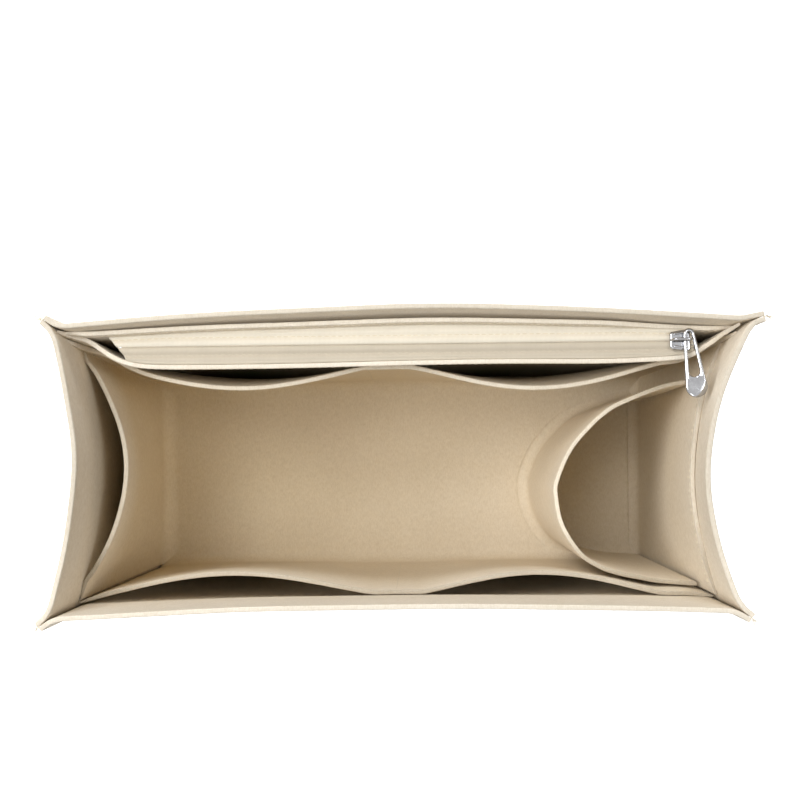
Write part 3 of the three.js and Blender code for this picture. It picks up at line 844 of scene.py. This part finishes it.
for name, node, length in (("front", "front_wall", 302), ("back", "back_wall", 302),
                           ("left", "left_end_wall", 134), ("right", "right_end_wall", 137)):
    felt_panel(f"{name}_wall", node, wall_surface(WALLS[name]), length, BODY_HEIGHT, WALL_FELT)
felt_panel(
    "front_pocket", "front_slip_pocket",
    slip_surface("front", FRONT_SLIP_SPAN, SLIP_TOP, FRONT_MOUTHS, WIDE_FOOT),
    292, 132, pinch=0.5, foot=True, seam=FRONT_SEAM)
felt_panel(
    "left_pocket", "left_slip_pocket",
    slip_surface("left", LEFT_SLIP_SPAN, SLIP_TOP, LEFT_MOUTHS, WIDE_FOOT),
    122, 132, pinch=0.5, foot=True)
felt_panel(
    "right_pocket", "right_slip_pocket",
    slip_surface("right", RIGHT_SLIP_SPAN, FLAT_SLIP_TOP, RIGHT_MOUTHS, FLAT_FOOT, FLAT_HUG),
    122, 138, pinch=0.4, foot=True)
felt_panel(
    "zip_back", "zip_pocket_back_panel",
    slip_surface("back", ZIP_BACK_SPAN, ZIP_TOP, (), crown=ZIP_BACK_CROWN), 290, 144, pinch=0.3)
felt_panel(
    "zip_front", "zip_pocket_front_panel",
    panel_surface(zip_front_point, ZIP_TOP, ends=ZIP_FRONT_CLIMB), 290, 144, pinch=0.4)
felt_panel(
    "zip_slip", "zip_slip_pocket",
    panel_surface(zip_slip_point, SLIP_TOP, WIDE_FOOT, ends=ZIP_SLIP_CLIMB),
    290, 132, pinch=0.5, foot=True, seam=ZIP_SEAM)
felt_panel(
    "bottle_holder", "bottle_holder", panel_surface(holder_point, HOLDER_TOP, HOLDER_FOOT),
    180, 119, foot=True)


# Zipper tapes: a bead over the coil, a sewn groove, a flat band, then down along the felt

BESIDE_PANEL = POCKET_FELT / 2 + 0.27
TAPE_THICKNESS = 0.5


def front_tape_y(x, z):
    low, high = np.zeros_like(x), np.ones_like(x)
    for _ in range(24):
        middle = (low + high) / 2
        before = zip_front_offset(middle, z, -BESIDE_PANEL)[..., 0] < x
        low, high = np.where(before, middle, low), np.where(before, high, middle)
    return zip_front_offset((low + high) / 2, z, -BESIDE_PANEL)[..., 1]


def back_tape_y(x, z):
    start, end = (corner_at(WALLS["back"][place], z)[..., 0] for place in ("start", "end"))
    share = (x - start) / (end - start)
    wall_y = wall_point(WALLS["back"], share, z)[..., 1]
    return wall_y + zip_back_hug(share, z) - BESIDE_WALL - BESIDE_PANEL


TAPE_PROFILE = (
    (0.21, -0.4), (0.28, 0.05), (0.6, 0.42), (1.2, 0.66), (1.8, 0.7), (2.4, 0.5), (2.95, 0.12),
    (3.4, -0.28), (3.9, -0.42), (4.3, -0.26), (4.8, 0.1), (5.3, 0.36),
)
# The profile's row in the sewn groove, and the rows after it: share of the way to the felt with
# the height there, and drops below the tape along the felt
TAPE_GROOVE = 8
TAPE_BAND = ((0.25, 0.3), (0.5, 0.02), (0.75, 0.16), (0.97, 0.3))
TAPE_DROPS = (1.0, 2.5, 4.5, TAPE_TURN_DOWN)
TAPE_LEFT_SLANT = 7
TAPE_FLAT = 5.3


def tape_grid(direction, panel_y):
    """Rows along the tape, from beside the coil out to the felt and down along it."""
    rows = []

    def xs_at(across):
        slant = TAPE_LEFT_SLANT * direction * across
        return mix(ZIP_LEFT_X - slant, ZIP_RIGHT_X, np.linspace(0, 1, 220))

    def add_row(ys, z):
        rows.append(np.column_stack([xs, ys, np.full_like(xs, z)]))

    for across, up in TAPE_PROFILE:
        xs = xs_at(0.5 * across / TAPE_FLAT)
        room = np.minimum(np.abs(panel_y(xs, TAPE_HEIGHT) - ZIP_LINE_Y) / (TAPE_FLAT + 0.5), 1)
        add_row(ZIP_LINE_Y + direction * across * room, TAPE_HEIGHT + up)
    edge, xs = rows[-1][:, 1], xs_at(0.5)
    for share, up in TAPE_BAND:
        add_row(mix(edge, panel_y(xs, TAPE_HEIGHT), share), TAPE_HEIGHT + up)
    for drop in TAPE_DROPS:
        add_row(panel_y(xs, TAPE_HEIGHT - drop), TAPE_HEIGHT - drop)
    return np.stack(rows if direction < 0 else rows[::-1])


def make_tape_piece(name, node, direction, panel_y, material):
    grid = tape_grid(direction, panel_y)
    points, faces = sheet_mesh(grid, np.full(grid.shape[:2], TAPE_THICKNESS / 2))
    piece = add_mesh(name, points, faces, material, "organizer", "zipper_tape", node)


# The front tape takes the darker copy of the tape, painted shade, and the back tape the paler one,
# painted light
make_tape_piece(
    "front_tape_cloth", "zipper_tape_front", -1, front_tape_y, TAPE_SHADED)
make_tape_piece("back_tape_cloth", "zipper_tape_back", 1, back_tape_y, TAPE_LIT)


# Swept and lofted pieces

def loft_faces(rings, sides, start=0, flip=False, closed=False):
    """Quads from each ring of points to the next, with a cap on both ends if it doesn't close."""
    faces, around = [], start + np.arange(sides)
    for i in range(rings if closed else rings - 1):
        a, b = around + i * sides, around + (i + 1) % rings * sides
        quad = np.stack([a, b, np.roll(b, -1), np.roll(a, -1)], -1)
        faces += (quad[:, [0, 3, 2, 1]] if flip else quad).tolist()
    if not closed:
        last = around + (rings - 1) * sides
        caps = (around[::-1], last) if flip else (around, last[::-1])
        faces += [cap.tolist() for cap in caps]
    return faces


def tube(path, radius, sides, wide=1, up=(0, 0, 1)):
    """A round or oval bar along a path: wide times as wide, beside the up direction, as high."""
    path = np.asarray(path, float)
    ahead = unit(np.gradient(path, axis=0))
    side = unit(np.cross(ahead, up))
    rise = np.cross(side, ahead)
    turn = circle(sides)[None, :, None]
    radii = np.broadcast_to(radius, len(path))[:, None, None]
    ring = np.cos(turn) * side[:, None] * wide + np.sin(turn) * rise[:, None]
    points = (path[:, None] + radii * ring).reshape(-1, 3)
    return points, loft_faces(len(path), sides)


def merge(parts):
    points, faces, start = [], [], 0
    for some_points, some_faces in parts:
        points.append(some_points)
        faces += [[start + i for i in face] for face in some_faces]
        start += len(some_points)
    return np.concatenate(points), faces


def round_plate(outline, levels):
    """A plate lofted through levels of inset and height, from its underside to its top."""
    low, high = outline.min(0), outline.max(0)
    middle, half = (high + low) / 2, (high - low) / 2
    size = len(outline)
    rings = [np.column_stack([middle + (outline - middle) * (half - inset) / half, [z] * size])
             for inset, z in levels]
    return np.concatenate(rings), loft_faces(len(levels), size, flip=True)


def trapezoid(left, right, left_width, right_width, corner):
    """An outline with round corners, counterclockwise."""
    outline = []
    corners = ((right, right_width), (left, left_width), (left, -left_width), (right, -right_width))
    for k, (x, width) in enumerate(corners):
        centre = np.array([x - math.copysign(corner, x - (left + right) / 2),
                           width / 2 - math.copysign(corner, width)])
        for angle in (k + np.linspace(0, 1, 6)) * np.pi / 2:
            outline.append(centre + corner * np.array([math.cos(angle), math.sin(angle)]))
    return np.array(outline)


# Zipper: two coils that mesh, stops, slider, bail and pull

# Pitch, radius and thread radius of the coils, and how far each lies from the zipper's middle
COIL_PITCH, COIL_RADIUS, COIL_THREAD, COIL_REACH = 1.3, 0.5, 0.22, 0.9


def make_coil(name, node, direction):
    start, end = ZIP_LEFT_X + 3, ZIP_RIGHT_X - 2.2
    turns = (end - start) / COIL_PITCH
    angle = np.linspace(0, 2 * np.pi * turns, int(turns * 9))
    shift, offset = (COIL_PITCH / 2, math.pi) if direction > 0 else (0, 0)
    path = np.column_stack([
        start + angle / (2 * np.pi) * COIL_PITCH + shift,
        ZIP_LINE_Y + direction * (COIL_REACH + COIL_RADIUS * 0.9 * np.cos(angle + offset)),
        TAPE_HEIGHT - 0.05 + COIL_RADIUS * np.sin(angle + offset)])
    coil = tube(path, COIL_THREAD, 5, up=(1, 0, 0))
    add_mesh(name, *coil, NYLON, "organizer", "zipper_teeth", node)


make_coil("front_coil", "zipper_teeth_front", -1)
make_coil("back_coil", "zipper_teeth_back", 1)


def add_metal(name, points, faces, body, node):
    add_mesh(name, points, faces, NICKEL, body, "nickel", node)


def make_stop(name, node, x, y, length, width, top=0.84):
    outline = trapezoid(x - length / 2, x + length / 2, width, width, 0.35) + (0, y)
    points, faces = round_plate(outline, (
        (0.3, -0.8), (0.05, -0.65), (0, -0.3), (0, top - 0.5), (0.08, top - 0.2),
        (0.3, top - 0.04), (0.6, top)))
    points[:, 2] += TAPE_HEIGHT
    add_metal(name, points, faces, "organizer", node)


STOP_LENGTH, STOP_WIDTH = 1.4, 1.7
STOP_X = ZIP_RIGHT_X - CLEARANCE - STOP_LENGTH / 2
for direction, side_name in ((-1, "front"), (1, "back")):
    make_stop(f"stop_{side_name}", f"top_stop_{side_name}", STOP_X,
              ZIP_LINE_Y + direction * (TEETH_BACK - STOP_WIDTH / 2), STOP_LENGTH, STOP_WIDTH)
make_stop("stop_at_left", "bottom_stop", ZIP_LEFT_X + CLEARANCE + 1, ZIP_LINE_Y, 2, 2.2, 0.3)

PLATE_BOTTOM = TAPE_HEIGHT + TEETH_HEIGHT / 2 + 0.4
PLATE_TOP = PLATE_BOTTOM + 1.2
PLATE_WIDTHS, PLATE_CORNER = (7.6, 9.6), 1.4
UNDER_TOP = TAPE_HEIGHT - TEETH_HEIGHT / 2 - 0.4
UNDER_WIDTH = 6.6
POST_WIDTH = 0.36
RAIL_RADIUS = 0.34
SLIDER_AT = np.array([SLIDER_X, ZIP_LINE_Y, 0])


def make_slider():
    """The crowned top plate with its two raised rails, the post, and the plate below the tapes."""
    half = SLIDER_LENGTH / 2
    top = round_plate(trapezoid(-half, half, *PLATE_WIDTHS, PLATE_CORNER), (
        (0.35, PLATE_BOTTOM), (0.05, PLATE_BOTTOM + 0.2), (0, PLATE_BOTTOM + 0.6),
        (0.12, PLATE_TOP - 0.25), (0.45, PLATE_TOP - 0.06), (0.9, PLATE_TOP),
        (2.0, PLATE_TOP + 0.05)))
    under = round_plate(trapezoid(-half, half, UNDER_WIDTH, UNDER_WIDTH, PLATE_CORNER), (
        (0.4, UNDER_TOP - 1), (0.1, UNDER_TOP - 0.85), (0, UNDER_TOP - 0.5),
        (0.1, UNDER_TOP - 0.15), (0.4, UNDER_TOP)))
    post = round_plate(trapezoid(half - 3.7, half - 0.7, POST_WIDTH, POST_WIDTH, 0.15), (
        (0, UNDER_TOP - 0.5), (0, PLATE_TOP - 0.3)))
    low, high = PLATE_TOP - 0.1, PLATE_TOP + 0.22
    rails = []
    for side in (-1, 1):
        path = np.array([(-half + 1.6, side * 2.6, low), (-half + 2.3, side * 2.7, high),
                         (half - 2.3, side * 3.4, high), (half - 1.6, side * 3.5, low)])
        rails.append(tube(spline(path, np.linspace(0, 1, 16)), RAIL_RADIUS, 8, 1.3))
    points, faces = merge([top, under, post, *rails])
    add_metal("slider_plates", points + SLIDER_AT, faces, "slider", "slider_body")


BAIL_HALF, BAIL_RADIUS = 3.6, 0.62
BAIL_FOOT, BAIL_HIGH = PLATE_TOP - 0.5, PLATE_TOP + 3.25
# One side of the arch: how far in from its end, and how far below its top
BAIL_BEND = ((0, 1.3), (0.45, 0.35), (1.4, 0))


def make_bail():
    bend = [(BAIL_HALF - inset, BAIL_HIGH - drop) for inset, drop in BAIL_BEND]
    right = [*bend[::-1], (BAIL_HALF, BAIL_FOOT)]
    path = [(-x, 0, z) for x, z in right[::-1]] + [(0, 0, BAIL_HIGH + 0.04)]
    path += [(x, 0, z) for x, z in right]
    dense = spline(np.array(path, float), np.linspace(0, 1, 60))
    points, faces = tube(dense, BAIL_RADIUS, 12, 1.25, up=(0, 1, 0))
    add_metal("slider_arch", points + SLIDER_AT, faces, "slider", "slider_bail")


PULL_LEAN = math.radians(8)
PULL_HALF = 0.8
PULL_AT = np.array([SLIDER_X + 3.6, ZIP_LINE_Y, PLATE_TOP + 0.4 + PULL_HALF])
# Of the pull's outline and its hole: radius and reach of the circle at the neck and at the end
PULL_OUTER = (2.5, 2.5, 4.8, 20.6)
PULL_INNER = (1.2, 2.2, 2.3, 14)


def teardrop(neck_radius, neck_reach, end_radius, end_reach):
    """Two circles and their common tangents, with as many points on each part of every outline."""
    slope = math.asin((end_radius - neck_radius) / (neck_reach + end_reach))
    neck = np.linspace(slope, np.pi - slope, 26)
    end = np.linspace(np.pi - slope, 2 * np.pi + slope, 26)
    top = np.column_stack([np.cos(neck), np.sin(neck)]) * neck_radius + (0, neck_reach)
    low = np.column_stack([np.cos(end), np.sin(end)]) * end_radius - (0, end_reach)
    share = np.linspace(0, 1, 18)[1:-1, None]
    return np.concatenate([top, mix(top[-1], low[0], share), low, mix(low[-1], top[0], share)])


def make_pull():
    """A ring with a rounded section, and a fuller, gently domed free end."""
    outer, inner = teardrop(*PULL_OUTER), teardrop(*PULL_INNER)
    turn = circle(16)
    middle, reach = (outer + inner) / 2, (outer - inner) / 2
    rings = middle[:, None] + reach[:, None] * np.cos(turn)[None, :, None]
    heights = np.broadcast_to(PULL_HALF * np.sin(turn), rings.shape[:2])
    cos, sin = math.cos(PULL_LEAN), math.sin(PULL_LEAN)
    leaning = rings @ np.array([[cos, sin], [-sin, cos]])
    points = np.concatenate([leaning, heights[..., None]], -1).reshape(-1, 3)
    faces = loft_faces(len(outer), len(turn), flip=True, closed=True)
    add_metal("teardrop_pull", points + PULL_AT, faces, "pull", "zipper_pull")


make_slider()
make_bail()
make_pull()


# Sewing: each stitch is a short thread that dips into the felt at both ends

STITCH_PITCH, STITCH_LENGTH = 3.0, 2.3
STITCH_LIFT, STITCH_SINK = 0.16, 0.14
THREAD_RADIUS = 0.25
# Places along a stitch, and how thick the thread is there
STITCH_STEPS = np.array([0, 0.12, 0.35, 0.65, 0.88, 1])
STITCH_RADII = THREAD_RADIUS * np.array([0.5, 0.9, 1, 1, 0.9, 0.5])


def stitch_line(path, normals):
    way = way_along(path)
    places = np.arange(0.5, way[-1] - STITCH_LENGTH, STITCH_PITCH)
    starts = points_at(places, way, path)
    along = points_at(places + STITCH_LENGTH, way, path) - starts
    normal = unit(points_at(places + STITCH_LENGTH / 2, way, normals))
    side = np.cross(unit(along), normal)
    rise = STITCH_LIFT * np.sin(np.pi * STITCH_STEPS) ** 0.7 - STITCH_SINK
    centres = starts[:, None] + along[:, None] * STITCH_STEPS[None, :, None]
    centres = centres + normal[:, None] * rise[None, :, None]
    turn = circle(6)[None, None, :, None]
    ring = side[:, None, None] * np.cos(turn) + normal[:, None, None] * np.sin(turn)
    points = centres[:, :, None] + ring * STITCH_RADII[None, :, None, None]
    count, rows, sides = points.shape[:3]
    faces = []
    for k in range(count):
        faces += loft_faces(rows, sides, k * rows * sides)
    return points.reshape(-1, 3), faces


def surface_line(surface, share, climb, outward):
    """A line on a panel's face. Where it runs, share or climb is a pair; outward is its offset."""
    nudge = np.array([-0.004, 0, 0.004])
    if isinstance(share, tuple):
        shares, climbs, line = np.linspace(*share, 240), climb + nudge, (1, slice(None))
    else:
        shares, climbs, line = share + nudge, np.linspace(*climb, 200), (slice(None), 1)
    grid = surface(shares, climbs)
    normal = grid_normals(grid)[line]
    return grid[line] + normal * outward, normal * math.copysign(1, outward)


def sew(name, lines, material=THREAD):
    points, faces = merge([stitch_line(*line) for line in lines])
    add_mesh(name, points, faces, material, "organizer", "felt")


# The lines of each seam: its panel, where it lies or runs along and up that, and its offset
HALF_POCKET, HALF_WALL = POCKET_FELT / 2, WALL_FELT / 2
SEAM_SINK = 0.2
MIDDLE_RUN, HEM_RUN = (0.14, 0.985), (0.02, 0.98)
SEAMS = {
    "middle_seams": (
        ("front_pocket", FRONT_SEAM, MIDDLE_RUN, SEAM_SINK - HALF_POCKET),
        ("zip_slip", ZIP_SEAM, MIDDLE_RUN, HALF_POCKET - SEAM_SINK)),
    "pocket_hem_seams": (
        ("right_pocket", (0.04, 0.96), 0.977, -HALF_POCKET),
        ("zip_back", HEM_RUN, 0.985, -HALF_POCKET), ("zip_front", HEM_RUN, 0.984, HALF_POCKET)),
    "holder_end_seams": [
        ("bottle_holder", share, (0.1, 0.98), HALF_POCKET) for share in (0.022, 0.978)],
}
for name in ("front_wall", "right_wall", "back_wall", "left_wall"):
    SEAMS[f"{name}_seams"] = [(name, (0.03, 0.97), 0.008, HALF_WALL), *(
        (name, share, (0.02, 0.985), HALF_WALL) for share in (0.011, 0.989))]
for name, lines in SEAMS.items():
    sew(name, [surface_line(SURFACES[panel], *line) for panel, *line in lines])


def tape_seam(direction, panel_y):
    grid = tape_grid(direction, panel_y)
    path = grid[TAPE_GROOVE if direction < 0 else -1 - TAPE_GROOVE] + (0, 0, TAPE_THICKNESS / 2)
    return path, np.tile([0.0, 0.0, 1.0], (len(path), 1))


# The front seam takes the darker copy of the thread, painted shade
sew("zipper_front_seam", [tape_seam(-1, front_tape_y)], THREAD_SHADED)
sew("zipper_back_seam", [tape_seam(1, back_tape_y)])


# How many loose threads each corner has
LOOSE_THREADS = {(-1, 1): 7, (1, 1): 6, (1, -1): 5, (-1, -1): 4}


def make_loose_threads():
    """Loose thread ends at the corners' tips."""
    chance = np.random.default_rng(5)
    parts = []
    for signs, strands in LOOSE_THREADS.items():
        tip = np.array([*corner_at(signs, BODY_HEIGHT), BODY_HEIGHT - 0.3])
        outward = np.array([*CORNER_WAY[signs], 0])
        tip = tip + outward * (CORNER_SEAM + 0.4)
        for _ in range(strands):
            aim = outward * chance.uniform(0.6, 1.8) + chance.normal(0, 0.8, 3) * (1, 1, 0.7)
            bend = chance.normal(0, 0.7, 3)
            path = np.array([tip - outward, tip + (0, 0, 0.2), tip + aim, tip + aim * 1.7 + bend])
            parts.append(tube(spline(path, np.linspace(0, 1, 10)), np.linspace(0.24, 0.12, 10), 5))
    add_mesh("loose_threads", *merge(parts), THREAD, "organizer", "felt")


make_loose_threads()


# Stage, lights and camera

# How bright the floor shows to the camera, and at which distances in metres
FLOOR_GLOW = {"From_Min": 0.5, "From_Max": 1.8, "To_Min": 0.5, "To_Max": 0.85}
SKY_LIGHT = 0.175


def make_floor():
    bpy.ops.mesh.primitive_plane_add(size=6, location=(0, 0, -0.0005))
    floor = bpy.context.object
    floor.name = "studio_floor"
    pale = material_nodes("studio_floor", Base_Color=(0.9, 0.9, 0.9, 1), Roughness=0.9,
                          Specular_IOR_Level=0.1, Emission_Color=(1, 1, 1, 1))
    far = pale.add("ShaderNodeVectorMath", operation="LENGTH")
    pale.link(pale.place(), far.inputs[0])
    glow = pale.map_range(far.outputs["Value"], **FLOOR_GLOW)
    pale.feed("Emission Strength", pale.math("MULTIPLY", pale.seen_rays(), glow))
    floor.data.materials.append(pale.owner)


def make_world():
    world = bpy.data.worlds.new("studio")
    bpy.context.scene.world = world
    sky = Shading(world, "Background", Color=(1, 1, 1, 1))
    sky.feed("Strength", sky.map_range(sky.seen_rays(), To_Min=SKY_LIGHT, To_Max=1))


# Height and turn of each soft light in degrees, and its power in watts
LIGHTS = (
    (30, 90, 8.2), (45, 180, 9.4), (50, 135, 5), (70, 135, 3.9), (68, 200, 2.6), (50, 0, 5.2),
    (50, 270, 1.7),
)
LIGHT_DISTANCE = 1.4
LIGHT_SIZE = 0.5
LIGHT_TARGET = Vector((0, 0, 0.1))
LIGHT_COLOR = (0.97, 1, 1.04)


def make_lights():
    for number, (height, turn, power) in enumerate(LIGHTS):
        height, turn = math.radians(height), math.radians(turn)
        flat = math.cos(height)
        way = Vector((flat * math.cos(turn), flat * math.sin(turn), math.sin(height)))
        lamp = bpy.data.lights.new(f"soft_light_{number}", "AREA")
        lamp.shape = "DISK"
        lamp.size, lamp.energy, lamp.color = LIGHT_SIZE, power, LIGHT_COLOR
        holder = add_object(lamp.name, lamp)
        holder.location = LIGHT_TARGET + way * LIGHT_DISTANCE
        direction = LIGHT_TARGET - holder.location
        holder.rotation_euler = direction.to_track_quat("-Z", "Y").to_euler()


# Camera, found from the photograph: the lens and its sensor in millimetres
CAMERA_PLACE = (0, 0.00215, 0.515)
CAMERA_LENS, CAMERA_SENSOR = 37.7, 36
CAMERA_SHIFT_Y = 0.079
CAMERA_ROLL = -0.012


def make_camera():
    data = bpy.data.cameras.new("camera")
    data.lens, data.sensor_width = CAMERA_LENS, CAMERA_SENSOR
    data.shift_y = CAMERA_SHIFT_Y
    data.clip_start = 0.01
    camera = add_object("camera", data)
    camera.location = CAMERA_PLACE
    camera.rotation_euler = (0, 0, CAMERA_ROLL)
    bpy.context.scene.camera = camera


make_floor()
make_world()
make_lights()
make_camera()
bpy.context.scene.view_settings.view_transform = "Standard"
